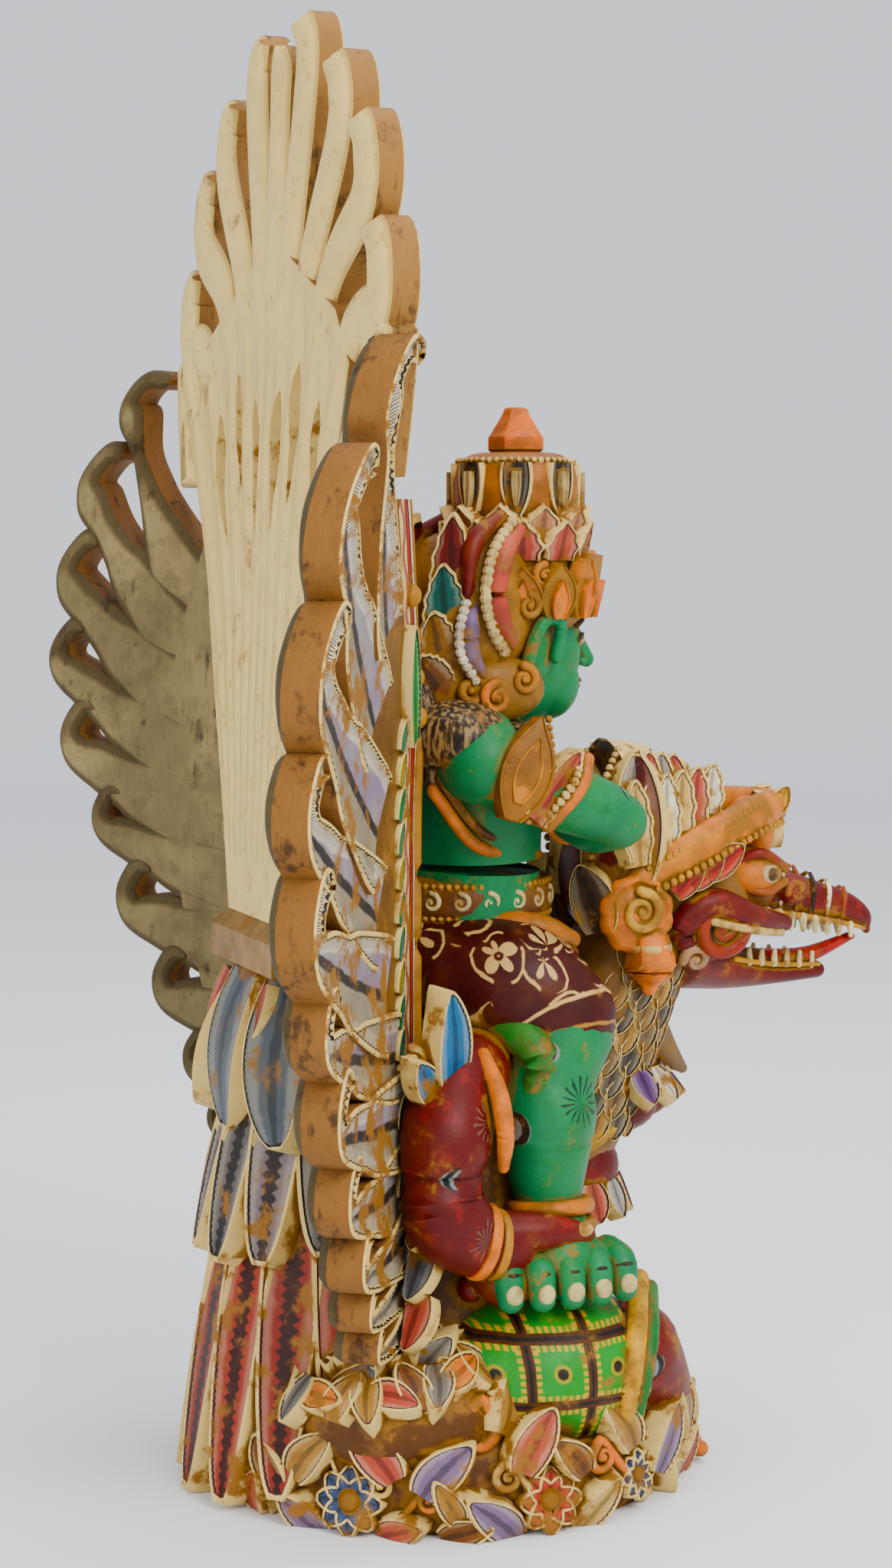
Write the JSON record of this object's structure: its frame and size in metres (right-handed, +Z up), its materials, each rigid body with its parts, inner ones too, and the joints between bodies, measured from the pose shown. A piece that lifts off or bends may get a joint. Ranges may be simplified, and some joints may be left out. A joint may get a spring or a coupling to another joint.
{
  "type": "vishnu on garuda statue",
  "caption": "Carved and painted wooden deity riding a winged bird, on a round base of foliage, with two separate wings and an upright tail fan behind.",
  "frame": {"origin": "middle of the flat underside of the base", "axes": "+Z up; the deity and the bird face -Y; the statue's right side is -X"},
  "size_m": [0.5725, 0.5602, 0.9891],
  "materials": {
    "carving": "many colours of matt paint with fine brushed lines, worn to brown ground in the hollows",
    "right_wing": "grey and lavender feathers with cream rims in front, bare stained wood at the edges and back",
    "left_wing": "grey and lavender feathers with cream rims in front, mottled olive and tan wood at the back",
    "tail_fan": "pale cream wash with green streaks behind, red and cream paint in front"
  },
  "bodies": {
    "root": {"carving": "carving", "right_wing": "right_wing", "left_wing": "left_wing", "tail_fan": "tail_fan"}
  },
  "joints": []
}
